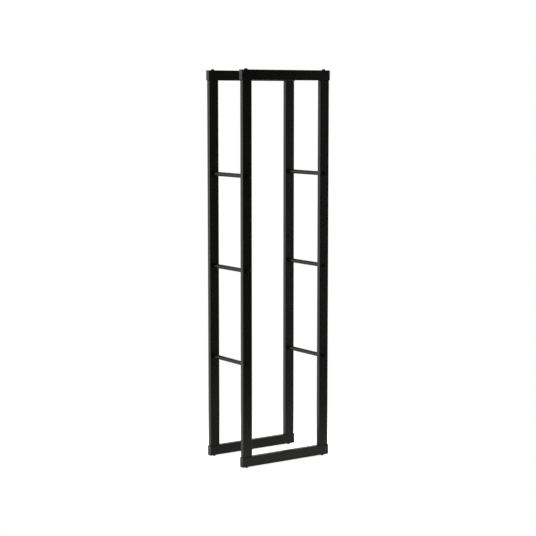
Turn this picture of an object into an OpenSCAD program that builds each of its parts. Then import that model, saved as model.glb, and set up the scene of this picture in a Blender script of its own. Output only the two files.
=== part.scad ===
// Upright rack for firewood. Two flat steel frames, front and rear, each have two posts bolted between
// a top rail and a bottom rail, and six round rods hold the frames apart.
// X runs to the right, Y to the back and Z up. The origin is at the centre of the footprint, on the
// plane of the four lower bolt heads, which are the rack's feet. Sizes are in millimetres.

/* [Rack] */
// Width over the rails and their end caps
rack_w = 400; // [300:1:800]
// Depth over the front and rear rails
rack_d = 250; // [180:1:450]
// Height over the lower and upper bolt heads
rack_h = 1500; // [600:1:2000]

/* [Tubes] */
// Height of a rail's section
rail_h = 38.5; // [30:0.5:60]
// Depth of a rail's section
rail_d = 20; // [19:0.5:40]
// Width of a post's section
post_w = 40; // [25:0.5:60]
// Depth of a post's section
post_d = 19; // [18:0.5:38]
// Wall of the rails and posts
tube_wall = 1; // [0.8:0.1:1.4]
// Outer corner radius of the rails and posts
tube_r = 2; // [1.6:0.1:4]
// How far a rail runs past the outer side of a post
rail_overhang = 3.2; // [2:0.2:20]

/* [Rods] */
// Diameter of a rod
rod_d = 16; // [14:0.5:25]
// Wall of a rod
rod_wall = 1.5; // [1:0.1:2]
// Length of the threaded bush in a rod's end
bush_l = 16; // [12:1:40]
// Depth to which a rod's bolt enters its bush
bush_grip = 11; // [8:0.5:12]

/* [Bolts] */
// Diameter of every bolt's shank
bolt_d = 8; // [5:0.5:8.5]
// Diameter of a domed bolt head
head_d = 14; // [12:0.5:17]
// Height of a domed bolt head
head_h = 4.4; // [3:0.1:6]
// Diameter of the flat crown of a bolt head
crown_d = 8; // [7:0.1:9]
// Width across the flats of the socket in a bolt head
socket_af = 5; // [3:0.5:5]
// Depth of the socket in a bolt head
socket_depth = 2.6; // [1.5:0.1:2.8]
// Width across the flats of a nut
nut_af = 13; // [11:0.5:13]
// Height of a nut
nut_h = 6.5; // [4:0.5:9]
// Length of a bolt that shows past its nut
bolt_past_nut = 2; // [0:0.5:5]

/* [Plugs and caps] */
// Thickness of the end cap's plate on the end of a rail
cap_plate = 2; // [1:0.1:3]
// Depth to which an end cap is pushed into a rail
cap_depth = 11; // [6:0.5:11]
// Wall of the hollow part of an end cap
cap_wall = 1.5; // [1:0.1:3]
// Thickness of the plug's plate between a post and a rail
plug_plate = 1.5; // [1:0.1:3]
// How far the plug's plate lies inside the outline of the post
plug_inset = 0.8; // [0.4:0.1:1.2]
// Depth to which a plug is pushed into a post
plug_depth = 20; // [18:0.5:40]
// Depth of solid plug under its nut
nut_seat = 6.5; // [3:0.5:8]

/* [Clearances] */
// Gap around a bolt where it passes through a tube wall
hole_gap = 0.5; // [0.2:0.1:1]
// Gap around a bolt in a nut, a bush or a plug
thread_gap = 0.1; // [0.05:0.05:0.3]
// Gap around a cap or a plug in its tube
fit_gap = 0.1; // [0.05:0.05:0.3]

/* [Hidden] */
LEFT = -1;
RIGHT = 1;
FRONT = -1;
REAR = 1;
BOTTOM = -1;
TOP = 1;

coat_black = "#1c1d1f";
plastic_black = "#141415";
bolt_black = "#232427";
zinc_grey = "#a9adb0";

corner_fn = 32;         // segments of a small rounded corner
round_fn = 96;          // segments of a full circle

rows_of_gaps = 4;       // the rods share the height between the rails into this many equal gaps
head_edge = 0.6;        // height of the upright edge at the foot of a domed head
bolt_tip = 1;           // chamfer on the free end of a bolt
rod_chamfer = 0.6;      // chamfer on the outer edge of a rod's end
cap_edge = 0.6;         // chamfer around the outer face of an end cap
fin_h = 0.4;            // how far the fins of a plug or cap stand out of its body
fin_t = 0.9;            // thickness of a fin
fin_count = 3;          // fins along a plug or cap
past = 1;               // how far a cutter runs past the face that it opens

bolt_r = bolt_d / 2;
hole_r = bolt_r + hole_gap;
thread_hole_r = bolt_r + thread_gap;
tube_inner_r = max(tube_r - tube_wall, 0.4);

rail_y = (rack_d - rail_d) / 2;                             // rails and posts share this centre plane
rail_tube_w = rack_w - 2 * cap_plate;
post_x = rack_w / 2 - rail_overhang - post_w / 2;
bottom_rail_z = head_h;                                     // underside of the bottom rails
top_rail_z = rack_h - head_h - rail_h;                      // underside of the top rails
post_base_z = bottom_rail_z + rail_h + plug_plate;
post_tip_z = top_rail_z - plug_plate;
post_l = post_tip_z - post_base_z;

gap_h = (top_rail_z - bottom_rail_z - rail_h) / rows_of_gaps;
rod_l = 2 * rail_y - post_d;                                // between the inner faces of two posts
bush_r = rod_d / 2 - rod_wall - fit_gap / 2;

frame_bolt_l = rail_h + plug_plate + nut_seat + nut_h + bolt_past_nut;
rod_bolt_l = post_d + bush_grip;

// The dome of a bolt head is an arc about the head's axis, from the top of its upright edge to the
// rim of its crown.
dome_centre_z = ((head_d / 2) ^ 2 + head_edge ^ 2 - (crown_d / 2) ^ 2 - head_h ^ 2)
              / (2 * (head_edge - head_h));
dome_r = sqrt((crown_d / 2) ^ 2 + (head_h - dome_centre_z) ^ 2);

// Height of a rod's axis; level 1 is the lowest.
function rod_z(level) = bottom_rail_z + rail_h + level * gap_h;

// Rectangle with round corners, centred.
module rounded_rect(w, h, r) {
    square([w - 2 * r, h], center = true);
    square([w, h - 2 * r], center = true);
    for (sx = [-1, 1], sy = [-1, 1])
        translate([sx * (w / 2 - r), sy * (h / 2 - r)])
            circle(r = r, $fn = corner_fn);
}

// Hollow section of a rail or a post.
module tube_section(w, h) {
    difference() {
        rounded_rect(w, h, tube_r);
        rounded_rect(w - 2 * tube_wall, h - 2 * tube_wall, tube_inner_r);
    }
}

// Solid that slides into a tube of outer size w by h: a plain body with fins that touch the tube.
module finned_body(w, h, depth) {
    inner_w = w - 2 * (tube_wall + fit_gap);
    inner_h = h - 2 * (tube_wall + fit_gap);
    linear_extrude(depth)
        rounded_rect(inner_w - 2 * fin_h, inner_h - 2 * fin_h, tube_inner_r);
    for (i = [1:fin_count])
        translate([0, 0, i * depth / (fin_count + 1) - fin_t / 2])
            linear_extrude(fin_t)
                rounded_rect(inner_w, inner_h, tube_inner_r);
}

// Places its children once at each post, seen from above.
module at_each_post() {
    for (side = [LEFT, RIGHT], face = [FRONT, REAR])
        translate([side * post_x, face * rail_y, 0])
            children();
}

// Places its children on the axis of each rod, with their own +Z pointing out of the chosen face.
module at_each_rod(face) {
    for (side = [LEFT, RIGHT], level = [1:rows_of_gaps - 1])
        translate([side * post_x, face * rail_y, rod_z(level)])
            rotate([-90 * face, 0, 0])
                children();
}

// Post tube, with a hole through both walls at each rod.
module post(side, face) {
    color(coat_black)
        difference() {
            translate([side * post_x, face * rail_y, post_base_z])
                linear_extrude(post_l)
                    tube_section(post_w, post_d);
            for (level = [1:rows_of_gaps - 1])
                translate([side * post_x, face * rail_y, rod_z(level)])
                    rotate([90, 0, 0])
                        cylinder(h = post_d + 2 * past, r = hole_r, center = true, $fn = round_fn);
        }
}

// Rail tube, with a hole through its top and bottom walls at each post.
module rail(face, base_z) {
    color(coat_black)
        difference() {
            translate([-rail_tube_w / 2, face * rail_y, base_z + rail_h / 2])
                rotate([90, 0, 90])
                    linear_extrude(rail_tube_w)
                        tube_section(rail_d, rail_h);
            for (side = [LEFT, RIGHT])
                translate([side * post_x, face * rail_y, base_z - past])
                    cylinder(h = rail_h + 2 * past, r = hole_r, $fn = round_fn);
        }
}

// Rod tube between a front and a rear post, with chamfered ends.
module rod(side, level) {
    inner_r = rod_d / 2 - rod_wall;
    outer_r = rod_d / 2;
    color(coat_black)
        translate([side * post_x, rod_l / 2, rod_z(level)])
            rotate([90, 0, 0])
                rotate_extrude($fn = round_fn)
                    polygon([
                        [inner_r, 0], [outer_r - rod_chamfer, 0], [outer_r, rod_chamfer],
                        [outer_r, rod_l - rod_chamfer], [outer_r - rod_chamfer, rod_l], [inner_r, rod_l]
                    ]);
}

// End cap of a rail: a chamfered plate on the tube's end and a hollow, finned body inside it.
module rail_cap(side, face, base_z) {
    hollow_w = rail_d - 2 * (tube_wall + fit_gap + fin_h + cap_wall);
    hollow_h = rail_h - 2 * (tube_wall + fit_gap + fin_h + cap_wall);
    color(plastic_black)
        translate([side * rail_tube_w / 2, face * rail_y, base_z + rail_h / 2])
            rotate([90, 0, 90 * side])
                difference() {
                    union() {
                        hull() {
                            linear_extrude(cap_plate - cap_edge)
                                rounded_rect(rail_d, rail_h, tube_r);
                            linear_extrude(cap_plate)
                                rounded_rect(rail_d - 2 * cap_edge, rail_h - 2 * cap_edge,
                                             tube_r - cap_edge);
                        }
                        mirror([0, 0, 1])
                            finned_body(rail_d, rail_h, cap_depth);
                    }
                    translate([0, 0, -cap_depth - past])
                        linear_extrude(cap_depth + past)
                            rounded_rect(hollow_w, hollow_h, tube_inner_r);
                }
}

// Plug in the end of a post: a plate that the rail bears on, and a finned body that holds the nut.
module post_plug(side, face, end) {
    plate_w = post_w - 2 * plug_inset;
    plate_d = post_d - 2 * plug_inset;
    pocket_r = (nut_af / 2 + fit_gap) / cos(30);
    base_z = end == TOP ? post_tip_z : post_base_z;
    color(plastic_black)
        translate([side * post_x, face * rail_y, base_z])
            mirror([0, 0, end == TOP ? 1 : 0])
                difference() {
                    union() {
                        translate([0, 0, -plug_plate])
                            linear_extrude(plug_plate)
                                rounded_rect(plate_w, plate_d, tube_r - plug_inset);
                        finned_body(post_w, post_d, plug_depth);
                    }
                    translate([0, 0, nut_seat])
                        cylinder(h = plug_depth, r = pocket_r, $fn = 6);
                    translate([0, 0, -plug_plate - past])
                        cylinder(h = plug_plate + nut_seat + 2 * past, r = thread_hole_r,
                                 $fn = round_fn);
                }
}

// Domed bolt with a hexagon socket. Its head stands up from z = 0 and its shank runs down.
module domed_bolt(shank_l) {
    color(bolt_black)
        difference() {
            rotate_extrude($fn = round_fn) {
                intersection() {
                    translate([0, dome_centre_z])
                        circle(r = dome_r, $fn = round_fn);
                    square([head_d / 2, head_h]);
                }
                polygon([
                    [0, -shank_l], [bolt_r - bolt_tip, -shank_l], [bolt_r, bolt_tip - shank_l],
                    [bolt_r, head_edge], [0, head_edge]
                ]);
            }
            translate([0, 0, head_h - socket_depth])
                cylinder(h = socket_depth + past, r = socket_af / 2 / cos(30), $fn = 6);
        }
}

// Bolts down through the top rails into the posts.
module top_rail_bolts() {
    at_each_post()
        translate([0, 0, top_rail_z + rail_h])
            domed_bolt(frame_bolt_l);
}

// Bolts up through the bottom rails into the posts; the rack stands on their heads.
module bottom_rail_bolts() {
    at_each_post()
        translate([0, 0, bottom_rail_z])
            rotate([180, 0, 0])
                domed_bolt(frame_bolt_l);
}

// Bolts through the posts of one frame into the rods.
module rod_bolts(face) {
    at_each_rod(face)
        translate([0, 0, post_d / 2])
            domed_bolt(rod_bolt_l);
}

// Hexagon nut with chamfered corners, standing on z = 0.
module nut() {
    corner_r = nut_af / 2 / cos(30);
    chamfer = (corner_r - nut_af / 2) / 2;
    color(zinc_grey)
        difference() {
            intersection() {
                cylinder(h = nut_h, r = corner_r, $fn = 6);
                rotate_extrude($fn = round_fn)
                    polygon([
                        [0, 0], [nut_af / 2, 0], [corner_r, chamfer], [corner_r, nut_h - chamfer],
                        [nut_af / 2, nut_h], [0, nut_h]
                    ]);
            }
            translate([0, 0, -past])
                cylinder(h = nut_h + 2 * past, r = thread_hole_r, $fn = round_fn);
        }
}

// Nuts in the plugs at the top ends of the posts.
module top_post_nuts() {
    at_each_post()
        translate([0, 0, post_tip_z - nut_seat - nut_h])
            nut();
}

// Nuts in the plugs at the bottom ends of the posts.
module bottom_post_nuts() {
    at_each_post()
        translate([0, 0, post_base_z + nut_seat])
            nut();
}

// Threaded bushes in the ends of the rods that meet one frame.
module rod_bushes(face) {
    color(zinc_grey)
        at_each_rod(face)
            translate([0, 0, -post_d / 2 - bush_l])
                difference() {
                    cylinder(h = bush_l, r = bush_r, $fn = round_fn);
                    translate([0, 0, -past])
                        cylinder(h = bush_l + 2 * past, r = thread_hole_r, $fn = round_fn);
                }
}

post(LEFT, FRONT);  // front_left_post
post(RIGHT, FRONT);  // front_right_post
post(LEFT, REAR);  // rear_left_post
post(RIGHT, REAR);  // rear_right_post

rail(FRONT, top_rail_z);  // front_top_rail
rail(FRONT, bottom_rail_z);  // front_bottom_rail
rail(REAR, top_rail_z);  // rear_top_rail
rail(REAR, bottom_rail_z);  // rear_bottom_rail

rod(LEFT, 1);  // left_lower_rod
rod(LEFT, 2);  // left_middle_rod
rod(LEFT, 3);  // left_upper_rod
rod(RIGHT, 1);  // right_lower_rod
rod(RIGHT, 2);  // right_middle_rod
rod(RIGHT, 3);  // right_upper_rod

rail_cap(LEFT, FRONT, top_rail_z);  // front_top_left_cap
rail_cap(RIGHT, FRONT, top_rail_z);  // front_top_right_cap
rail_cap(LEFT, FRONT, bottom_rail_z);  // front_bottom_left_cap
rail_cap(RIGHT, FRONT, bottom_rail_z);  // front_bottom_right_cap
rail_cap(LEFT, REAR, top_rail_z);  // rear_top_left_cap
rail_cap(RIGHT, REAR, top_rail_z);  // rear_top_right_cap
rail_cap(LEFT, REAR, bottom_rail_z);  // rear_bottom_left_cap
rail_cap(RIGHT, REAR, bottom_rail_z);  // rear_bottom_right_cap

post_plug(LEFT, FRONT, TOP);  // front_left_top_plug
post_plug(LEFT, FRONT, BOTTOM);  // front_left_bottom_plug
post_plug(RIGHT, FRONT, TOP);  // front_right_top_plug
post_plug(RIGHT, FRONT, BOTTOM);  // front_right_bottom_plug
post_plug(LEFT, REAR, TOP);  // rear_left_top_plug
post_plug(LEFT, REAR, BOTTOM);  // rear_left_bottom_plug
post_plug(RIGHT, REAR, TOP);  // rear_right_top_plug
post_plug(RIGHT, REAR, BOTTOM);  // rear_right_bottom_plug

top_rail_bolts();
bottom_rail_bolts();
rod_bolts(FRONT);  // front_rod_bolts
rod_bolts(REAR);  // rear_rod_bolts

top_post_nuts();
bottom_post_nuts();
rod_bushes(FRONT);  // front_rod_bushes
rod_bushes(REAR);  // rear_rod_bushes
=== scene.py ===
# %% [markdown]
# # A firewood rack of black steel tube
#
# This rack is two flat steel frames, one in front of the other. Each frame has two posts bolted
# between a top rail and a bottom rail. Six round rods, three at each side, hold the frames apart,
# and domed bolts hold everything together. The four lowest bolt heads are the rack's feet.
#
# The engineering model comes first. It is loaded as a fixed frame, in metres, with +Z up, and every
# piece in this lesson is built around its boxes. So nothing has to be fitted by eye.

# %% Load the frame
import math

import bmesh
import bpy
from mathutils import Matrix, Vector


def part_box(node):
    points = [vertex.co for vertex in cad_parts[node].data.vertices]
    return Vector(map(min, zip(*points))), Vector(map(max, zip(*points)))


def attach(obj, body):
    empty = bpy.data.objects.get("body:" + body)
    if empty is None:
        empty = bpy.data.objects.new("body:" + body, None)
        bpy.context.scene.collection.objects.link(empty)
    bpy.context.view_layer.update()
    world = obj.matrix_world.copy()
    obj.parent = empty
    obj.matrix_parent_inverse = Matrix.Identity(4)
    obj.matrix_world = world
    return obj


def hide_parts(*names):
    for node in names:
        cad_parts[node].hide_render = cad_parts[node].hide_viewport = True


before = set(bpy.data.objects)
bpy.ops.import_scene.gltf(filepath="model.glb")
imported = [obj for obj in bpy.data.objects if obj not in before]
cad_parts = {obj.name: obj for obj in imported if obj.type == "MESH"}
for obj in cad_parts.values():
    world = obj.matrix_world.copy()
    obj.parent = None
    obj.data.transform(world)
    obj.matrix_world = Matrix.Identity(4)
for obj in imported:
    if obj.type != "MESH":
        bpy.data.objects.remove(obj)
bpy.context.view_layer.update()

MM = 0.001

# %% [markdown]
# ## Names and boxes
#
# The rack repeats itself: front and rear, left and right, bottom and top. Its nodes are named with
# these words, so a loop over the words builds each kind of piece.
#
# A node's box gives its outer size and its place. What a box can't tell, such as the wall of a tube
# or the shape of a bolt head, is named in the cell that first needs it, as the maker's drawing
# would name it.

# %% Names and boxes
SIDES = ("left", "right")
FACES = ("front", "rear")
ENDS = ("bottom", "top")
LEVELS = ("lower", "middle", "upper")


def box_of(node):
    """Lowest corner, size and centre of a node."""
    low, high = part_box(node)
    return low, high - low, (low + high) / 2


for node in ("front_left_post", "front_top_rail", "left_lower_rod", "top_rail_bolts"):
    print(node, [round(side / MM, 2) for side in box_of(node)[1]])

# %% [markdown]
# ## Camera
#
# The rack is seen from its left front corner, from a little below its top, through a long lens. A
# long lens keeps tall posts nearly parallel. The camera is placed with a heading to the right of +Y
# and a small tilt down, which is easier to read than a rotation matrix.

# %% Camera
CAMERA_PLACE = (-3.189, -4.690, 1.394)
CAMERA_HEADING = 34.21
CAMERA_TILT = 6.587
CAMERA_LENS = 99.33
SENSOR_WIDTH = 36.0

camera_data = bpy.data.cameras.new("camera")
camera_data.lens = CAMERA_LENS
camera_data.sensor_width = SENSOR_WIDTH
camera_data.clip_start = 0.1
camera_data.clip_end = 60.0
camera = bpy.data.objects.new("camera", camera_data)
camera.location = CAMERA_PLACE
camera.rotation_euler = (math.radians(90 - CAMERA_TILT), 0, -math.radians(CAMERA_HEADING))
bpy.context.scene.collection.objects.link(camera)
bpy.context.scene.camera = camera
print("camera is", round(math.hypot(*CAMERA_PLACE[:2]), 2), "m from the rack's axis")

# %% [markdown]
# ## Small helpers for node trees
#
# Every material here is a node tree, and most of its lines would only add a node and join two
# sockets. These helpers keep those lines short. The first adds a node and sets its values, and the
# second starts a new material with a Principled shader in it. The others read noise, map a value
# onto a range, mix two colours and name two kinds of grey.

# %% Node helpers
# A noise seldom leaves the wider of these spans, and most of it lies in the narrower one.
NOISE_SPAN = (0.3, 0.7)
NOISE_MIDDLE = (0.35, 0.65)

# A Mix node has its sockets for colours at these places.
MIX_FACTOR, MIX_FIRST, MIX_SECOND, MIX_RESULT = 0, 6, 7, 2
SHORT_OF_BLUE = 0.86


def add_node(tree, kind, inputs=None, **settings):
    """Adds a node. settings are its properties, and inputs maps a socket's name to its value."""
    node = tree.nodes.new(kind)
    for name, value in settings.items():
        setattr(node, name, value)
    for name, value in (inputs or {}).items():
        if isinstance(value, bpy.types.NodeSocket):
            tree.links.new(value, node.inputs[name])
        else:
            node.inputs[name].default_value = value
    return node


def new_material(name):
    """An empty material, its tree and its Principled shader."""
    material = bpy.data.materials.new(name)
    material.use_nodes = True
    tree = material.node_tree
    tree.nodes.clear()
    shader = add_node(tree, "ShaderNodeBsdfPrincipled")
    add_node(tree, "ShaderNodeOutputMaterial", {"Surface": shader.outputs["BSDF"]})
    return material, tree, shader


def object_coordinates(tree):
    return add_node(tree, "ShaderNodeTexCoord").outputs["Object"]


def noise(tree, where, scale, detail, roughness):
    """Noise of about 1 / scale metres across, read at the piece's own coordinates."""
    node = add_node(tree, "ShaderNodeTexNoise", {"Vector": where, "Scale": scale, "Detail": detail,
                                                 "Roughness": roughness})
    return node.outputs["Fac"]


def spread(tree, value, low, high, start=0.0, end=1.0):
    """Maps a value that runs from start to end onto low to high."""
    node = add_node(tree, "ShaderNodeMapRange", {"Value": value, "From Min": start, "From Max": end,
                                                 "To Min": low, "To Max": high})
    return node.outputs["Result"]


def blend_colours(tree, factor, first, second):
    """Mixes two colours, each an RGBA tuple or a socket."""
    node = add_node(tree, "ShaderNodeMix", {
        MIX_FACTOR: factor, MIX_FIRST: first, MIX_SECOND: second}, data_type="RGBA")
    return node.outputs[MIX_RESULT]


def grey(level):
    return (level, level, level, 1.0)


def warm_grey(level):
    """A black coat's grey, a shade short of blue."""
    return (level, level, level * SHORT_OF_BLUE, 1.0)


for helper in (add_node, new_material, noise, spread, blend_colours):
    print(helper.__name__, "-", helper.__doc__)

# %% [markdown]
# ## Finding the edges
#
# A coat is thinner, smoother or worn along its edges, so a material has to know where they are.
# Painting them by hand would have to be done again for each piece.
#
# There are two ways to find them. The Bevel node turns the normals near an edge, and the further a
# normal turns, the nearer the edge is. It works on any shape, but it traces rays and is slow. Walls
# of a square tube all face along an axis, so there a normal that lies between two axes can only be
# on a rounded corner. That takes a few sums and no rays, so the tubes use it.

# %% Edge finders
BEVEL_SAMPLES = 6
EDGE_TURN = (0.86, 0.995)
CORNER_TURN = (0.80, 0.995)


def edge_mask(tree, reach):
    """1 on an edge and 0 on a flat face: how far a bevelled normal turns from the true one."""
    rounded = add_node(tree, "ShaderNodeBevel", {"Radius": reach}, samples=BEVEL_SAMPLES)
    true = add_node(tree, "ShaderNodeNewGeometry")
    facing = add_node(tree, "ShaderNodeVectorMath", {0: rounded.outputs["Normal"],
                                                     1: true.outputs["Normal"]},
                      operation="DOT_PRODUCT")
    return spread(tree, facing.outputs["Value"], 1.0, 0.0, *EDGE_TURN)


def corner_mask(tree):
    """1 on a rounded corner and 0 on a flat wall: how far the normal is from the nearest axis."""
    normal = add_node(tree, "ShaderNodeNewGeometry").outputs["Normal"]
    size = add_node(tree, "ShaderNodeVectorMath", {0: normal}, operation="ABSOLUTE")
    parts = add_node(tree, "ShaderNodeSeparateXYZ", {0: size.outputs["Vector"]}).outputs
    wider = add_node(tree, "ShaderNodeMath", {0: parts["X"], 1: parts["Y"]}, operation="MAXIMUM")
    widest = add_node(tree, "ShaderNodeMath", {0: wider.outputs[0], 1: parts["Z"]},
                      operation="MAXIMUM")
    return spread(tree, widest.outputs[0], 1.0, 0.0, *CORNER_TURN)


begins, full = (round(math.degrees(math.acos(turn))) for turn in reversed(EDGE_TURN))
print("an edge begins where a normal turns", begins, "degrees, and is full at", full)

# %% [markdown]
# ## Powder coat
#
# The tubes and rods are sprayed with black powder and baked. The baked film is a satin black with
# two textures: a slow orange peel about a millimetre across, and a fine grain on top of it. It is a
# little thinner and smoother where it flows over an edge.
#
# It could be a picture wrapped round each tube, but noise read from the piece's own coordinates has
# no seams and no stretching, at any distance. Colour, gloss and height read the same two noises, so
# a dip is also a little darker and rougher, as in the real film.

# %% Powder coat
# Each noise has a scale, a detail and a roughness.
PEEL = (620.0, 2.0, 0.5)
GRAIN = (2300.0, 3.0, 0.6)
CLOUD = (14.0, 4.0, 0.6)
PATCHES = (90.0, 4.0, 0.7)

FILM_GREYS = (0.0038, 0.0058)
SPECK_GREY = 0.016
SPECK_SHARE = 0.5
SPECK_SPAN = (0.55, 0.72)
EDGE_GREY = 0.020
EDGE_PATCHES = (0.25, 1.0)
PATCH_SPAN = (0.4, 0.6)

SATIN = (0.35, 0.38)
PEEL_ROUGHNESS = 0.08
EDGE_ROUGHNESS = -0.07
PEEL_DEPTH = 0.40 * MM
GRAIN_DEPTH = 0.15 * MM
COAT_IOR = 1.36
COAT_TINT = (1.0, 1.0, 0.93, 1.0)
ROD_EDGE = 1.2 * MM


def powder_coat(name, edge_of):
    """edge_of is the helper that finds the edges where the film is thin."""
    material, tree, shader = new_material(name)
    where = object_coordinates(tree)
    peel = noise(tree, where, *PEEL)
    grain = noise(tree, where, *GRAIN)
    cloud = noise(tree, where, *CLOUD)
    patches = spread(tree, noise(tree, where, *PATCHES), *EDGE_PATCHES, *PATCH_SPAN)
    edge = add_node(tree, "ShaderNodeMath", {0: edge_of(tree), 1: patches}, operation="MULTIPLY")

    film = blend_colours(tree, spread(tree, cloud, 0.0, 1.0, *NOISE_MIDDLE),
                         warm_grey(FILM_GREYS[0]), warm_grey(FILM_GREYS[1]))
    specks = spread(tree, grain, 0.0, SPECK_SHARE, *SPECK_SPAN)
    speckled = blend_colours(tree, specks, film, warm_grey(SPECK_GREY))
    worn = blend_colours(tree, edge.outputs[0], speckled, warm_grey(EDGE_GREY))
    tree.links.new(worn, shader.inputs["Base Color"])

    satin = spread(tree, cloud, *SATIN, *NOISE_SPAN)
    grainy = add_node(tree, "ShaderNodeMath", {0: peel, 1: PEEL_ROUGHNESS, 2: satin},
                      operation="MULTIPLY_ADD")
    rubbed = add_node(tree, "ShaderNodeMath", {
        0: edge.outputs[0], 1: EDGE_ROUGHNESS, 2: grainy.outputs[0]}, operation="MULTIPLY_ADD")
    tree.links.new(rubbed.outputs[0], shader.inputs["Roughness"])

    low_relief = add_node(tree, "ShaderNodeBump", {"Height": peel, "Strength": 0.6,
                                                   "Distance": PEEL_DEPTH})
    relief = add_node(tree, "ShaderNodeBump", {"Height": grain, "Strength": 0.5,
                                               "Distance": GRAIN_DEPTH,
                                               "Normal": low_relief.outputs["Normal"]})
    tree.links.new(relief.outputs["Normal"], shader.inputs["Normal"])
    shader.inputs["IOR"].default_value = COAT_IOR
    shader.inputs["Specular Tint"].default_value = COAT_TINT
    return material


POWDER_COAT = powder_coat("powder_coat", corner_mask)
POWDER_COAT_ROUND = powder_coat("powder_coat_on_rods", lambda tree: edge_mask(tree, ROD_EDGE))
print("made", POWDER_COAT.name, "and", POWDER_COAT_ROUND.name)

# %% [markdown]
# ## Moulded plastic
#
# The rails' end caps and the plugs in the posts are moulded in black plastic. The mould is spark
# eroded, which leaves an even, stippled skin. A cap is a touch greyer than the powder coat beside
# it. A plug is black plastic, but its near-black, dull finish is painted shade for a deeper gap, so
# only its edge shows, as a fine dark line between post and rail.
#
# The stipple is a cell pattern, not a noise: its dimples are all alike in size, as a spark's are.

# %% Moulded plastic
STIPPLE_SCALE = 1500.0
STIPPLE_DEPTH = 0.25 * MM
FLOW = (60.0, 3.0, 0.55)
CORNER_LIGHTER = 1.5
PLASTIC_IOR = 1.36


def moulded_plastic(name, greys, roughness, sheen):
    """A stippled plastic. greys and roughness are ranges, and sheen scales what it mirrors."""
    material, tree, shader = new_material(name)
    where = object_coordinates(tree)
    stipple = add_node(tree, "ShaderNodeTexVoronoi", {"Vector": where, "Scale": STIPPLE_SCALE},
                       feature="SMOOTH_F1")
    flow = noise(tree, where, *FLOW)

    body = blend_colours(tree, spread(tree, flow, 0.0, 1.0, *NOISE_MIDDLE),
                         warm_grey(greys[0]), warm_grey(greys[1]))
    worn = blend_colours(tree, corner_mask(tree), body, warm_grey(greys[1] * CORNER_LIGHTER))
    tree.links.new(worn, shader.inputs["Base Color"])
    tree.links.new(spread(tree, flow, *roughness, *NOISE_SPAN), shader.inputs["Roughness"])
    relief = add_node(tree, "ShaderNodeBump", {"Height": stipple.outputs["Distance"],
                                               "Strength": 0.5, "Distance": STIPPLE_DEPTH})
    tree.links.new(relief.outputs["Normal"], shader.inputs["Normal"])
    shader.inputs["IOR"].default_value = PLASTIC_IOR
    shader.inputs["Specular IOR Level"].default_value = sheen
    return material


CAP_PLASTIC = moulded_plastic("cap_plastic", greys=(0.014, 0.019), roughness=(0.38, 0.46),
                              sheen=0.5)
# The plug's near-black, dull finish is painted shade: it darkens the gap line between post and
# rail.
PLUG_PLASTIC_PAINTED_SHADE = moulded_plastic("plug_plastic_painted_shade", greys=(0.001, 0.002), roughness=(0.70, 0.80),
                               sheen=0.1)
print("made", CAP_PLASTIC.name, "and", PLUG_PLASTIC_PAINTED_SHADE.name)

# %% [markdown]
# ## Blackened bolts and bright zinc
#
# The bolts are steel with a matt black finish, which is a skin over the metal. So it is shaded as a
# skin, not as a metal, and it wears through first along the rim and the socket. The nuts and bushes
# sit inside the tubes, where nobody sees them, and are plain zinc-plated steel.
#
# One function makes both, because they differ only in colour, gloss and how far their edges have
# worn.

# %% Metals
MOTTLE = (420.0, 4.0, 0.6)
SCRATCHES = (5200.0, 2.0, 0.5)
SCRATCH_DEPTH = 0.02 * MM
RUBBED_EDGE = 0.5 * MM


def finished_steel(name, greys, worn, roughness, metallic, sheen):
    """Steel with a mottled finish. greys and roughness are ranges, and worn is its edges' grey."""
    material, tree, shader = new_material(name)
    where = object_coordinates(tree)
    mottle = noise(tree, where, *MOTTLE)
    scratches = noise(tree, where, *SCRATCHES)
    edge = edge_mask(tree, RUBBED_EDGE)

    finish = blend_colours(tree, spread(tree, mottle, 0.0, 1.0, *NOISE_MIDDLE),
                           grey(greys[0]), grey(greys[1]))
    tree.links.new(blend_colours(tree, edge, finish, grey(worn)), shader.inputs["Base Color"])
    tree.links.new(spread(tree, mottle, *roughness, *NOISE_SPAN), shader.inputs["Roughness"])
    relief = add_node(tree, "ShaderNodeBump", {"Height": scratches, "Strength": 0.2,
                                               "Distance": SCRATCH_DEPTH})
    tree.links.new(relief.outputs["Normal"], shader.inputs["Normal"])
    shader.inputs["Metallic"].default_value = metallic
    shader.inputs["Specular IOR Level"].default_value = sheen
    return material


BLACK_BOLT = finished_steel("black_bolt", greys=(0.004, 0.007), worn=0.020,
                            roughness=(0.42, 0.55), metallic=0.0, sheen=0.1)
BRIGHT_ZINC = finished_steel("bright_zinc", greys=(0.50, 0.62), worn=0.70,
                             roughness=(0.24, 0.36), metallic=1.0, sheen=0.5)
print("made", BLACK_BOLT.name, "and", BRIGHT_ZINC.name)

# %% [markdown]
# ## Turning a bmesh into a piece
#
# Each piece is modelled in a bmesh and then becomes an object at the origin, with its place in its
# mesh. Round parts are shaded smooth and real edges stay crisp. The Weighted Normal modifier lets
# the large flat faces keep their own normals, so a corner's shading doesn't bleed across a flat
# wall.

# %% Finish a piece
CRISP_ANGLE = math.radians(32)
SAME_POINT = 0.001 * MM


def finish_piece(bm, name, material, node):
    """Makes the object, and hides the CAD node that it stands for."""
    bmesh.ops.remove_doubles(bm, verts=bm.verts, dist=SAME_POINT)
    bmesh.ops.recalc_face_normals(bm, faces=bm.faces)
    mesh = bpy.data.meshes.new(name)
    bm.to_mesh(mesh)
    bm.free()
    mesh.polygons.foreach_set("use_smooth", [True] * len(mesh.polygons))
    mesh.set_sharp_from_angle(angle=CRISP_ANGLE)
    mesh.materials.append(material)
    piece = bpy.data.objects.new(name, mesh)
    bpy.context.scene.collection.objects.link(piece)
    weighted = piece.modifiers.new("even_flats", "WEIGHTED_NORMAL")
    weighted.keep_sharp = True
    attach(piece, "root")
    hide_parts(node)


print("edges sharper than", round(math.degrees(CRISP_ANGLE)), "degrees stay crisp")

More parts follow.
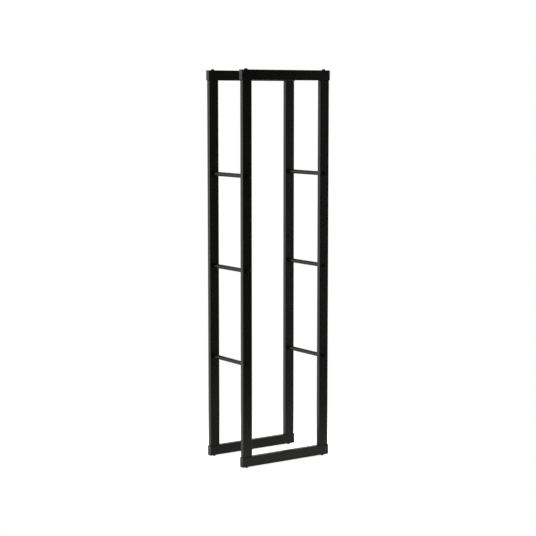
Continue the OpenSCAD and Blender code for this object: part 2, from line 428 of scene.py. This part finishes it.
# %% [markdown]
# ## Rectangular tube
#
# A rolled steel tube has a thin wall and rounded corners, outside and in. The section is drawn as
# one flat face: a grid cell, its four corners bevelled round, and an inset as wide as the wall.
# Removing the middle leaves the ring of metal, and extruding that ring gives the tube with its true
# wall.
#
# A box with a Solidify modifier would look the same from outside, but the ring shows the tube's
# real section and keeps the inner corners concentric with the outer ones.

# %% Flat sections
TUBE_CORNER = 2.0 * MM
CORNER_STEPS = 6


def rounded_face(bm, width, depth):
    """One flat face with the tube's round corners, centred on the origin."""
    bmesh.ops.create_grid(bm, x_segments=1, y_segments=1, size=0.5)
    bmesh.ops.scale(bm, vec=(width, depth, 1), verts=bm.verts)
    bmesh.ops.bevel(bm, geom=bm.verts[:], offset=TUBE_CORNER, segments=CORNER_STEPS, profile=0.5,
                    affect="VERTICES", material=-1)


def ring_of(bm, wall):
    """Turns the one flat face in bm into a ring of that wall."""
    bmesh.ops.inset_region(bm, faces=bm.faces[:], thickness=wall, use_even_offset=True,
                           use_boundary=True)
    middle = max(bm.faces, key=lambda face: len(face.verts))
    bmesh.ops.delete(bm, geom=[middle], context="FACES_ONLY")


print("corners of", round(TUBE_CORNER / MM, 1), "mm in", CORNER_STEPS, "steps")

# %% [markdown]
# ## From a section to a tube
#
# A flat section becomes a tube in two moves: it is pulled along +Z, and then a tiny bevel breaks
# the saw's burr off both ends. An edge belongs to an end when both its points lie in that plane and
# the surface really turns there, so the same helper serves square tubes and round ones.

# %% Tube helpers
TUBE_WALL = 1.0 * MM
CUT_EDGE = 0.2 * MM
CUT_STEPS = 2
RIM_TURN = 0.5      # radians, so that the small steps of a round corner don't count
CLOSE = 0.01 * MM


def new_points(extruded):
    return [item for item in extruded["geom"] if isinstance(item, bmesh.types.BMVert)]


def pull(bm, length):
    """Extrudes all faces of a flat section along +Z into a closed solid."""
    moved = new_points(bmesh.ops.extrude_face_region(bm, geom=bm.faces[:]))
    bmesh.ops.translate(bm, verts=moved, vec=(0, 0, length))
    bmesh.ops.recalc_face_normals(bm, faces=bm.faces)


def soften_ends(bm, length, width):
    """Bevels the edges that lie in the two end planes."""
    def at_end(edge):
        heights = {round(vert.co.z / CLOSE) for vert in edge.verts}
        return heights == {0} or heights == {round(length / CLOSE)}

    rims = [edge for edge in bm.edges if at_end(edge) and edge.calc_face_angle(0) > RIM_TURN]
    bmesh.ops.bevel(bm, geom=rims, offset=width, segments=CUT_STEPS, profile=0.5, affect="EDGES",
                    material=-1, clamp_overlap=True)


def rectangular_tube(width, depth, length):
    bm = bmesh.new()
    rounded_face(bm, width, depth)
    ring_of(bm, TUBE_WALL)
    pull(bm, length)
    soften_ends(bm, length, CUT_EDGE)
    return bm


print("wall", round(TUBE_WALL / MM, 1), "mm, ends softened by", round(CUT_EDGE / MM, 1), "mm")

# %% [markdown]
# ## Bolt holes
#
# Every bolt passes through two walls of its tube. The heads hide the holes, but they show when the
# rack is taken apart, and a bolt shouldn't run through solid steel. A boolean would cut them, but
# it leaves a tangle of thin triangles round each hole.
#
# Here the walls are cut by four planes, which leaves a square patch round each hole. The patch's
# sides are divided and it is inset, and the new inner points slide onto a circle. The two discs are
# removed, and a bridge between their rims is the bore.

# %% Bolt holes
HOLE_RADIUS = 4.5 * MM
HOLE_PATCH = 6.0 * MM
PATCH_CUTS = 7
FLAT_WALL = 0.99


def cut_across(bm, geom, place, facing):
    """Cuts the faces with a plane, without removing anything."""
    bmesh.ops.bisect_plane(bm, geom=geom, plane_co=place, plane_no=facing)


def drill(bm, height):
    """Drills through both walls that face Y, on the middle of the tube, at that height."""
    def in_band(face):
        middle = face.calc_center_median()
        return abs(face.normal.y) > FLAT_WALL and abs(middle.z - height) < CLOSE

    for side in (-HOLE_PATCH, HOLE_PATCH):
        cut_across(bm, bm.verts[:] + bm.edges[:] + bm.faces[:], (0, 0, height + side), (0, 0, 1))
    for side in (-HOLE_PATCH, HOLE_PATCH):
        faces = [face for face in bm.faces if in_band(face)]
        edges = {edge for face in faces for edge in face.edges}
        verts = {vert for face in faces for vert in face.verts}
        cut_across(bm, [*verts, *edges, *faces], (side, 0, 0), (1, 0, 0))
    patches = [face for face in bm.faces
               if in_band(face) and abs(face.calc_center_median().x) < CLOSE]
    patches.sort(key=lambda face: face.calc_center_median().y)
    sides = list({edge for face in patches for edge in face.edges})
    bmesh.ops.subdivide_edges(bm, edges=sides, cuts=PATCH_CUTS)
    bmesh.ops.inset_individual(bm, faces=patches, thickness=HOLE_PATCH - HOLE_RADIUS)
    for face in patches:
        for vert in face.verts:
            angle = math.atan2(vert.co.z - height, vert.co.x)
            vert.co.x = HOLE_RADIUS * math.cos(angle)
            vert.co.z = HOLE_RADIUS * math.sin(angle) + height
    for outer, inner in (patches[:2], patches[2:]):
        rims = [*outer.edges, *inner.edges]
        bmesh.ops.delete(bm, geom=[outer, inner], context="FACES_ONLY")
        bmesh.ops.bridge_loops(bm, edges=rims)


print("holes of", round(2 * HOLE_RADIUS / MM, 1), "mm")

# %% [markdown]
# ## Posts
#
# The four posts are the same tube, stood on end between the plugs. Each one takes its size and its
# place from its own box, and its holes from the boxes of the rods.

# %% Posts
ROD_HEIGHTS = [box_of(f"left_{level}_rod")[2].z for level in LEVELS]

for face in FACES:
    for side in SIDES:
        node = f"{face}_{side}_post"
        low, size, middle = box_of(node)
        bm = rectangular_tube(size.x, size.y, size.z)
        for height in ROD_HEIGHTS:
            drill(bm, height - low.z)
        bmesh.ops.translate(bm, verts=bm.verts, vec=(middle.x, middle.y, low.z))
        finish_piece(bm, f"{node}_tube", POWDER_COAT, node)
print("posts:", round(size.z / MM, 1), "mm long")

# %% [markdown]
# ## Rails
#
# A rail is the same kind of tube laid along X. It is pulled upright first and then tipped over, so
# one function serves posts and rails. Its holes are over the axes of the posts.

# %% Rails
def turned(degrees, axis):
    return Matrix.Rotation(math.radians(degrees), 4, axis)


def lay(bm, turn, place):
    """Turns a piece that was built along +Z, and moves its origin to its place."""
    bmesh.ops.transform(bm, verts=bm.verts, matrix=Matrix.Translation(place) @ turn)


for face in FACES:
    for end in ENDS:
        node = f"{face}_{end}_rail"
        low, size, middle = box_of(node)
        bm = rectangular_tube(size.y, size.z, size.x)
        for side in SIDES:
            drill(bm, box_of(f"{face}_{side}_post")[2].x - low.x)
        lay(bm, turned(90, "Z") @ turned(90, "X"), (low.x, middle.y, middle.z))
        finish_piece(bm, f"{node}_tube", POWDER_COAT, node)
print("rails:", round(size.x / MM, 1), "mm long")

# %% [markdown]
# ## Rods
#
# Each rod is a round tube that butts against a front and a rear post. Its section is a disc instead
# of a rounded rectangle, and the rest is the same: inset, remove the middle, pull, soften the ends.

# %% Rods
ROD_WALL = 1.5 * MM
ROD_STEPS = 64
ROD_CHAMFER = 0.6 * MM

for side in SIDES:
    for level in LEVELS:
        node = f"{side}_{level}_rod"
        low, size, middle = box_of(node)
        bm = bmesh.new()
        bmesh.ops.create_circle(bm, cap_ends=True, radius=size.x / 2, segments=ROD_STEPS)
        ring_of(bm, ROD_WALL)
        pull(bm, size.y)
        soften_ends(bm, size.y, ROD_CHAMFER)
        lay(bm, turned(-90, "X"), (middle.x, low.y, middle.z))
        finish_piece(bm, f"{node}_tube", POWDER_COAT_ROUND, node)
print("rods:", round(size.x / MM, 1), "mm across,", round(size.y / MM, 1), "mm long")

# %% [markdown]
# ## Fins that grip
#
# A push-in cap holds by friction. Three thin fins run round its skirt and bend a little against the
# inside of the tube, so the skirt itself can be loose enough to push in by hand.
#
# Two cuts mark a fin's band on the skirt, and the band's outer faces are extruded. Each new point
# then moves straight outwards, away from the nearest point of a core rectangle. The core's corners
# are the centres of the round corners, so the fin's corners stay round.

# %% Cap fins
SKIRT_INSET = 1.5 * MM
SKIRT_WALL = 1.5 * MM
FIN_COUNT = 3
FIN_THICKNESS = 0.9 * MM
FIN_REACH = 0.4 * MM


def kept_within(value, limit):
    return max(-limit, min(limit, value))


def past_outline(point, width, height):
    """How far a point lies outside a rectangle. Inside, it is less than 0."""
    return max(abs(point.x) - width / 2, abs(point.y) - height / 2)


def raise_fins(bm, width, height, depth):
    """Raises fins round the outside of the skirt, evenly spread over its depth."""
    for fin in range(FIN_COUNT):
        level = -depth * (fin + 1) / (FIN_COUNT + 1)
        for side in (-FIN_THICKNESS / 2, FIN_THICKNESS / 2):
            cut_across(bm, bm.verts[:] + bm.edges[:] + bm.faces[:], (0, 0, level + side), (0, 0, 1))
        centres = {face: face.calc_center_median() for face in bm.faces}
        band = [face for face, centre in centres.items() if abs(centre.z - level) < CLOSE
                and past_outline(centre, width, height) > -SKIRT_INSET - SKIRT_WALL / 2]
        grown = new_points(bmesh.ops.extrude_face_region(bm, geom=band))
        bmesh.ops.delete(bm, geom=band, context="FACES_ONLY")
        for vert in grown:
            core = Vector((kept_within(vert.co.x, width / 2 - TUBE_CORNER),
                           kept_within(vert.co.y, height / 2 - TUBE_CORNER), vert.co.z))
            vert.co += (vert.co - core).normalized() * FIN_REACH


print(FIN_COUNT, "fins, each", round(FIN_REACH / MM, 1), "mm proud")

# %% [markdown]
# ## The moulding of a cap
#
# What shows of a cap is its plate, which has the outline of the tube and a softly rounded rim.
# Behind the plate is the hollow skirt. Both come from one flat face: it is pulled into the plate,
# its inner side is inset twice, and the ring between the insets is pulled back into the skirt.
#
# The two insets together go deeper than the corners are round, so there the points would cross
# over. They are kept within a plain rectangle instead, which gives the hollow square corners.

# %% Moulding of a cap
CAP_PLATE = 2.0 * MM
CAP_RIM = 0.7 * MM
CAP_SEAM = 0.3 * MM
CAP_RIM_STEPS = 4
CAP_SEAM_STEPS = 2


def end_cap(width, height, depth):
    """A cap whose plate's outer face looks along +Z, with the tube's end at z = 0."""
    bm = bmesh.new()
    rounded_face(bm, width, height)
    pull(bm, CAP_PLATE)
    inner = min(bm.faces, key=lambda face: face.calc_center_median().z)
    bmesh.ops.inset_region(bm, faces=[inner], thickness=SKIRT_INSET, use_even_offset=True)
    ring = bmesh.ops.inset_region(bm, faces=[inner], thickness=SKIRT_WALL, use_even_offset=True)
    for vert in inner.verts:
        vert.co.x = kept_within(vert.co.x, width / 2 - SKIRT_INSET - SKIRT_WALL)
        vert.co.y = kept_within(vert.co.y, height / 2 - SKIRT_INSET - SKIRT_WALL)
    moved = new_points(bmesh.ops.extrude_face_region(bm, geom=ring["faces"]))
    bmesh.ops.translate(bm, verts=moved, vec=(0, 0, CAP_PLATE - depth))
    bmesh.ops.delete(bm, geom=ring["faces"], context="FACES_ONLY")
    bmesh.ops.remove_doubles(bm, verts=bm.verts, dist=SAME_POINT)
    raise_fins(bm, width, height, depth - CAP_PLATE)

    def on_outline(vert, level):
        return (abs(vert.co.z - level) < CLOSE
                and past_outline(vert.co, width, height) > -SKIRT_INSET / 2)

    for level, radius, steps in ((CAP_PLATE, CAP_RIM, CAP_RIM_STEPS),
                                 (0, CAP_SEAM, CAP_SEAM_STEPS)):
        rim = [edge for edge in bm.edges if edge.calc_face_angle(0) > RIM_TURN
               and all(on_outline(vert, level) for vert in edge.verts)]
        bmesh.ops.bevel(bm, geom=rim, offset=radius, segments=steps, profile=0.5, affect="EDGES",
                        material=-1)
    return bm


print("a cap's plate is", round(CAP_PLATE / MM, 1), "mm thick")

# %% [markdown]
# ## End caps
#
# Eight caps close the four rails. A cap looks outwards, so the left ones are turned the other way
# from the right ones, and each plate sits against its tube's end.

# %% End caps
for face in FACES:
    for end in ENDS:
        for side, outward in zip(SIDES, (-1, 1)):
            node = f"{face}_{end}_{side}_cap"
            low, size, middle = box_of(node)
            seat_x = middle.x + outward * (size.x / 2 - CAP_PLATE)
            bm = end_cap(size.y, size.z, size.x)
            lay(bm, turned(90 * outward, "Z") @ turned(90, "X"), (seat_x, middle.y, middle.z))
            finish_piece(bm, f"{node}_moulding", CAP_PLASTIC, node)
print("caps:", round(size.y / MM, 1), "by", round(size.z / MM, 1), "mm")

# %% [markdown]
# ## The dome of a bolt
#
# A furniture bolt has a low dome with a flat crown and a hexagon socket. The dome is an arc, turned
# round the bolt's axis. Its centre lies on that axis, where a circle through the dome's foot and
# the crown's rim has it.

# %% Dome
HEAD_RADIUS = 7.0 * MM
HEAD_HEIGHT = 4.4 * MM
HEAD_EDGE = 0.6 * MM
CROWN_RADIUS = 4.0 * MM
DOME_STEPS = 8


def dome_points():
    """Points of the dome in the XZ plane, from its foot to the rim of the crown."""
    centre = (HEAD_RADIUS**2 + HEAD_EDGE**2 - CROWN_RADIUS**2 - HEAD_HEIGHT**2) / (
        2 * (HEAD_EDGE - HEAD_HEIGHT))
    radius = math.hypot(CROWN_RADIUS, HEAD_HEIGHT - centre)
    foot = math.asin(HEAD_RADIUS / radius)
    rim = math.asin(CROWN_RADIUS / radius)
    angles = [foot + (rim - foot) * step / DOME_STEPS for step in range(DOME_STEPS + 1)]
    return [(radius * math.sin(angle), centre + radius * math.cos(angle)) for angle in angles]


print("head", round(2 * HEAD_RADIUS / MM, 1), "mm across,", round(HEAD_HEIGHT / MM, 1), "mm high")

# %% [markdown]
# ## The socket of a bolt
#
# The socket is the part that a spin can't make. It starts from the circle that the spin leaves open
# on the crown. That circle is extruded step by step, and each step's points slide onto a hexagon by
# one formula: the distance to a flat side, divided by the cosine of the angle from its middle.

# %% Socket
SOCKET_FLATS = 5.0 * MM


def hexagon_reach(angle):
    """Distance from the axis to the hexagon's side in that direction."""
    from_middle = (angle % math.radians(60)) - math.radians(30)
    return SOCKET_FLATS / 2 / math.cos(from_middle)


def extrude_loop(bm, loop, reach_at, height):
    """Extrudes an open loop of edges. reach_at gives a point's distance from the axis by angle."""
    grown = bmesh.ops.extrude_edge_only(bm, edges=loop)
    verts = new_points(grown)
    for vert in verts:
        angle = math.atan2(vert.co.y, vert.co.x)
        reach = reach_at(angle)
        vert.co = Vector((reach * math.cos(angle), reach * math.sin(angle), height))
    chosen = set(verts)
    return [item for item in grown["geom"] if isinstance(item, bmesh.types.BMEdge)
            and set(item.verts) <= chosen]


print("socket", round(SOCKET_FLATS / MM, 1), "mm across its flats")

# %% [markdown]
# ## One whole bolt
#
# The outside is turned on a lathe, so it is spun: a few points for the shank, the edge under the
# head and the dome. Both poles stay open at first, because a point on the axis would be a pinched
# fan of triangles. The tip gets a small flat face, and the crown gets the socket, with the shallow
# cone that its drill left at the bottom.

# %% Domed bolt
SHANK_RADIUS = 4.0 * MM
SHANK_TIP = 1.0 * MM
SPIN_STEPS = 48
POLE_RADIUS = 0.3 * MM
SOCKET_DEPTH = 2.6 * MM
SOCKET_MOUTH = 0.45 * MM
DRILL_RADIUS = 0.42 * SOCKET_FLATS
DRILL_POINT = 0.7 * MM
HEAD_TURN = math.radians(25)
HEAD_MARGIN = 0.1 * MM
HEAD_BREAK = 0.18 * MM
HEAD_BREAK_STEPS = 2


def spun_outside(bm, shank):
    """Spins the bolt's outline, with both poles left open."""
    mouth = SOCKET_FLATS / 2 / math.cos(math.radians(30)) + SOCKET_MOUTH
    outline = [(POLE_RADIUS, -shank), (SHANK_RADIUS - SHANK_TIP, -shank),
               (SHANK_RADIUS, SHANK_TIP - shank), (SHANK_RADIUS, 0), (HEAD_RADIUS, 0),
               *dome_points(), (mouth, HEAD_HEIGHT)]
    points = [bm.verts.new((across, 0, up)) for across, up in outline]
    chain = [bm.edges.new(pair) for pair in zip(points, points[1:])]
    bmesh.ops.spin(bm, geom=points + chain, axis=(0, 0, 1), cent=(0, 0, 0), dvec=(0, 0, 0),
                   angle=math.radians(360), steps=SPIN_STEPS, use_merge=True, use_duplicate=False)
    bmesh.ops.remove_doubles(bm, verts=bm.verts, dist=SAME_POINT)


def domed_bolt(shank):
    """A bolt whose head stands on z = 0 and whose shank hangs below."""
    bm = bmesh.new()
    spun_outside(bm, shank)

    def open_loop(height):
        return [edge for edge in bm.edges if edge.is_boundary
                and all(abs(vert.co.z - height) < CLOSE for vert in edge.verts)]

    bmesh.ops.contextual_create(bm, geom=open_loop(-shank))
    floor_height = HEAD_HEIGHT - SOCKET_DEPTH
    loop = extrude_loop(bm, open_loop(HEAD_HEIGHT), hexagon_reach, HEAD_HEIGHT - SOCKET_MOUTH)
    loop = extrude_loop(bm, loop, hexagon_reach, floor_height)
    loop = extrude_loop(bm, loop, lambda angle: DRILL_RADIUS, floor_height)
    loop = extrude_loop(bm, loop, lambda angle: POLE_RADIUS, floor_height - DRILL_POINT)
    bmesh.ops.contextual_create(bm, geom=loop)
    bmesh.ops.recalc_face_normals(bm, faces=bm.faces)

    def on_head(vert):
        across = math.hypot(vert.co.x, vert.co.y)
        return vert.co.z > -CLOSE and across > CROWN_RADIUS - HEAD_MARGIN

    broken = [edge for edge in bm.edges
              if edge.calc_face_angle(0) > HEAD_TURN and all(map(on_head, edge.verts))]
    bmesh.ops.bevel(bm, geom=broken, offset=HEAD_BREAK, segments=HEAD_BREAK_STEPS, profile=0.5,
                    affect="EDGES", material=-1)
    return bm


print("shank", round(2 * SHANK_RADIUS / MM, 1), "mm across")

# %% [markdown]
# ## Sets of bolts
#
# Bolts of one length share one CAD node, so they are one piece here too, made of separate closed
# shapes. One bolt is modelled, and a copy is turned and moved to each place.

# %% Bolt sets
def bolt_set(name, node, shank, places):
    """One piece made of a bolt at each place, which is a point under the head and its direction."""
    one = bpy.data.meshes.new("one_bolt")
    bolt = domed_bolt(shank)
    bolt.to_mesh(one)
    bolt.free()
    bm = bmesh.new()
    for point, direction in places:
        first = len(bm.verts)
        bm.from_mesh(one)
        bm.verts.ensure_lookup_table()
        turn = Vector(direction).to_track_quat("Z", "X").to_matrix().to_4x4()
        bmesh.ops.transform(bm, verts=bm.verts[first:], matrix=Matrix.Translation(point) @ turn)
    bpy.data.meshes.remove(one)
    print(name, ":", len(places), "bolts of", round(shank / MM, 1), "mm")
    finish_piece(bm, name, BLACK_BOLT, node)


# %% [markdown]
# ## Where the bolts go
#
# A rail's bolt runs down or up through the rail on the axis of each post, and a rod's bolt runs
# through a post on the axis of a rod. So both kinds take their places from the boxes of the pieces
# that they hold, and their lengths from the boxes of their own CAD nodes.

# %% Place the bolts
post_axes = [box_of(f"{face}_{side}_post")[2] for face in FACES for side in SIDES]
rod_axes = [box_of(f"{side}_{level}_rod")[2] for side in SIDES for level in LEVELS]

for end, up in zip(ENDS, (-1, 1)):
    low, size, middle = box_of(f"front_{end}_rail")
    under_head = middle.z + up * size.z / 2
    shank = box_of(f"{end}_rail_bolts")[1].z - HEAD_HEIGHT
    bolt_set(f"{end}_rail_domed_bolts", f"{end}_rail_bolts", shank,
             [((axis.x, axis.y, under_head), (0, 0, up)) for axis in post_axes])

for face, out in zip(FACES, (-1, 1)):
    low, size, middle = box_of(f"{face}_left_post")
    under_head = middle.y + out * size.y / 2
    shank = box_of(f"{face}_rod_bolts")[1].y - HEAD_HEIGHT
    bolt_set(f"{face}_rod_domed_bolts", f"{face}_rod_bolts", shank,
             [((axis.x, under_head, axis.z), (0, out, 0)) for axis in rod_axes])

# %% [markdown]
# ## Pieces that stay as the engineering model has them
#
# The plugs between posts and rails show only as a thin dark line, and their near-black finish is
# painted shade for that gap. The nuts and bushes are inside the tubes. Their shapes are right
# already, so they only get their finish. The last word of a node's name tells which.

# %% Finish the carried-over nodes
CARRIED = {"plug": PLUG_PLASTIC_PAINTED_SHADE, "nuts": BRIGHT_ZINC, "bushes": BRIGHT_ZINC}

for name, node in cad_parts.items():
    finish = CARRIED.get(name.rsplit("_", 1)[1])
    if finish is not None:
        node.data.materials.clear()
        node.data.materials.append(finish)
        print(name, "->", finish.name)

# %% [markdown]
# ## Floor
#
# A pale floor, a disc that fades out at its rim, so that it has no edge against the backdrop. It
# glows softly, like the lit table that a studio puts under a small product, because a shadow that
# falls on a table lit from below all but vanishes.
#
# A black, satin rack also shows its floor as a soft light on the lowest part of each face. So what
# the rack mirrors has a brightness of its own: less between the two frames, a painted shade under
# the rack, and more behind the rack to its left, a painted pool of light. The Light Path node keeps
# the two apart.

# %% Floor
FLOOR_RADIUS = 0.9
FLOOR_STEPS = 96
FLOOR_FADE = (0.35, 0.98)
FLOOR_GREY = 0.80
FLOOR_SEEN = 0.85
# Glow that the rack mirrors, brighter behind the rack to its left: a painted pool of light.
FLOOR_GLOW = (0.52, 0.82)
BACK_LEFT = (-0.56, 0.83, 0.0)
BACK_LEFT_SPAN = (0.05, 0.35)
# Share of that glow between the two frames: a painted shade under the rack.
UNDER_RACK = 0.45
UNDER_RACK_SPAN = (0.05, 0.16)


def pale_floor():
    """A dull, pale grey that glows, and that is clear towards the rim of the disc."""
    material, tree, shader = new_material("pale_floor")
    where = object_coordinates(tree)
    shader.inputs["Base Color"].default_value = grey(FLOOR_GREY)
    shader.inputs["Emission Color"].default_value = grey(1.0)
    shader.inputs["Roughness"].default_value = 0.9
    shader.inputs["Specular IOR Level"].default_value = 0.1

    back = add_node(tree, "ShaderNodeVectorMath", {0: where, 1: BACK_LEFT}, operation="DOT_PRODUCT")
    side = add_node(tree, "ShaderNodeSeparateXYZ", {0: where}).outputs["Y"]
    off_middle = add_node(tree, "ShaderNodeMath", {0: side}, operation="ABSOLUTE").outputs[0]
    mirrored = add_node(tree, "ShaderNodeMath", {
        0: spread(tree, back.outputs["Value"], *FLOOR_GLOW, *BACK_LEFT_SPAN),
        1: spread(tree, off_middle, UNDER_RACK, 1.0, *UNDER_RACK_SPAN)},
        operation="MULTIPLY").outputs[0]
    sees = add_node(tree, "ShaderNodeLightPath").outputs["Is Camera Ray"]
    tree.links.new(spread(tree, sees, mirrored, FLOOR_SEEN), shader.inputs["Emission Strength"])

    distance = add_node(tree, "ShaderNodeVectorMath", {0: where}, operation="LENGTH")
    solid = spread(tree, distance.outputs["Value"], 1.0, 0.0,
                   *(FLOOR_RADIUS * share for share in FLOOR_FADE))
    clear = add_node(tree, "ShaderNodeBsdfTransparent").outputs["BSDF"]
    mix = add_node(tree, "ShaderNodeMixShader", {0: solid, 1: clear, 2: shader.outputs["BSDF"]})
    output = next(node for node in tree.nodes if node.type == "OUTPUT_MATERIAL")
    tree.links.new(mix.outputs["Shader"], output.inputs["Surface"])
    return material


floor_bm = bmesh.new()
bmesh.ops.create_circle(floor_bm, cap_ends=True, radius=FLOOR_RADIUS, segments=FLOOR_STEPS)
floor_mesh = bpy.data.meshes.new("floor")
floor_bm.to_mesh(floor_mesh)
floor_bm.free()
floor_mesh.materials.append(pale_floor())
floor = bpy.data.objects.new("floor", floor_mesh)
bpy.context.scene.collection.objects.link(floor)
print("floor:", 2 * FLOOR_RADIUS, "m across")

# %% [markdown]
# ## The studio around the rack
#
# Black, satin metal is lit by what it mirrors, more than by what falls on it. So the studio is a
# bright wall behind the rack and round to its left, and the room in front of its right is left
# dark. That is how a black product gets light sides and deep black fronts at once.
#
# The wall could be a row of large lamps, but then each rod would show the lamps' outlines. Here it
# is part of the world, and its brightness depends only on the direction: full near the horizon, and
# less above and below. Camera rays see a plain white backdrop instead.

# %% World
SWEEP_LEVEL = 1.8
SWEEP_EDGE = (0.30, 0.78)
SWEEP_WRAP = -0.5
SWEEP_BY_HEIGHT = ((-0.35, 0.32), (-0.22, 0.62), (-0.13, 0.96), (-0.03, 1.0), (0.10, 0.70),
                   (0.30, 0.62), (0.60, 0.25))
ROOM_LEVELS = (0.20, 0.03)
DARK_CORNER = (0.56, -0.82, -0.10)
DARK_CORNER_SPAN = (0.40, 0.85)


def height_ramp(tree, rise):
    """The wall's share of its full brightness, by the height of a direction from -1 to 1."""
    ramp = add_node(tree, "ShaderNodeValToRGB", {"Fac": spread(tree, rise, 0.0, 1.0, -1.0, 1.0)})
    stops = ramp.color_ramp.elements
    while len(stops) < len(SWEEP_BY_HEIGHT):
        stops.new(1.0)
    for stop, (height, share) in zip(stops, SWEEP_BY_HEIGHT):
        stop.position = (height + 1) / 2
        stop.color = grey(share)
    return ramp.outputs["Color"]


def studio_world():
    """A bright wall behind and to the left, a dim room elsewhere, and a white backdrop."""
    world = bpy.data.worlds.new("studio")
    bpy.context.scene.world = world
    world.use_nodes = True
    tree = world.node_tree
    tree.nodes.clear()
    direction = add_node(tree, "ShaderNodeTexCoord").outputs["Generated"]
    parts = add_node(tree, "ShaderNodeSeparateXYZ", {0: direction}).outputs

    leftward = add_node(tree, "ShaderNodeMath", {0: parts["X"], 1: 0.0}, operation="MINIMUM")
    behind = add_node(tree, "ShaderNodeMath", {
        0: leftward.outputs[0], 1: SWEEP_WRAP, 2: parts["Y"]}, operation="MULTIPLY_ADD")
    wall = add_node(tree, "ShaderNodeMapRange", {
        "Value": behind.outputs[0], "From Min": SWEEP_EDGE[0], "From Max": SWEEP_EDGE[1],
        "To Max": SWEEP_LEVEL}, interpolation_type="SMOOTHSTEP").outputs["Result"]
    corner = add_node(tree, "ShaderNodeVectorMath", {0: direction, 1: DARK_CORNER},
                      operation="DOT_PRODUCT")
    room = spread(tree, corner.outputs["Value"], *ROOM_LEVELS, *DARK_CORNER_SPAN)
    level = add_node(tree, "ShaderNodeMath", {0: wall, 1: height_ramp(tree, parts["Z"]), 2: room},
                     operation="MULTIPLY_ADD").outputs[0]

    studio = add_node(tree, "ShaderNodeBackground", {"Color": grey(1.0), "Strength": level})
    backdrop = add_node(tree, "ShaderNodeBackground", {"Color": grey(1.0), "Strength": 1.0})
    sees = add_node(tree, "ShaderNodeLightPath").outputs["Is Camera Ray"]
    mix = add_node(tree, "ShaderNodeMixShader", {0: sees, 1: studio.outputs["Background"],
                                                 2: backdrop.outputs["Background"]})
    add_node(tree, "ShaderNodeOutputWorld", {"Surface": mix.outputs["Shader"]})


studio_world()
bpy.context.scene.view_settings.view_transform = "Standard"
print("wall", SWEEP_LEVEL, "and room", ROOM_LEVELS)

# %% [markdown]
# ## Two lamps
#
# One large, square lamp hangs overhead and whitens the floor. It isn't mirrored in the rack,
# because its outline would show as a bright patch in every bolt's dome.
#
# A tall, narrow panel stands to the right, a little in front. It gives the fronts of the posts
# their last bit of tone, and more of it on the right than on the left.

# %% Lamps
OVERHEAD_SIZE = (1.8, 1.8)
OVERHEAD_PLACE = (0.0, 0.3, 4.5)
OVERHEAD_POWER = 85.0
PANEL_SIZE = (0.6, 2.6)
PANEL_PLACE = (1.46, -0.47, 0.8)
PANEL_FACING = (-0.89, 0.46, 0.0)
PANEL_POWER = 10.5


def lamp(name, shape, size, power, place):
    """An area lamp that faces down and that the camera doesn't see. size is its two sides."""
    data = bpy.data.lights.new(name, "AREA")
    data.shape = shape
    data.size, data.size_y = size
    data.energy = power
    light = bpy.data.objects.new(name, data)
    light.location = place
    light.visible_camera = False
    bpy.context.scene.collection.objects.link(light)
    print(name, power, "W")
    return light


overhead = lamp("overhead", "SQUARE", OVERHEAD_SIZE, OVERHEAD_POWER, OVERHEAD_PLACE)
overhead.visible_glossy = False

panel = lamp("side_panel", "RECTANGLE", PANEL_SIZE, PANEL_POWER, PANEL_PLACE)
panel.rotation_euler = Vector(PANEL_FACING).to_track_quat("-Z", "Y").to_euler()

# %% [markdown]
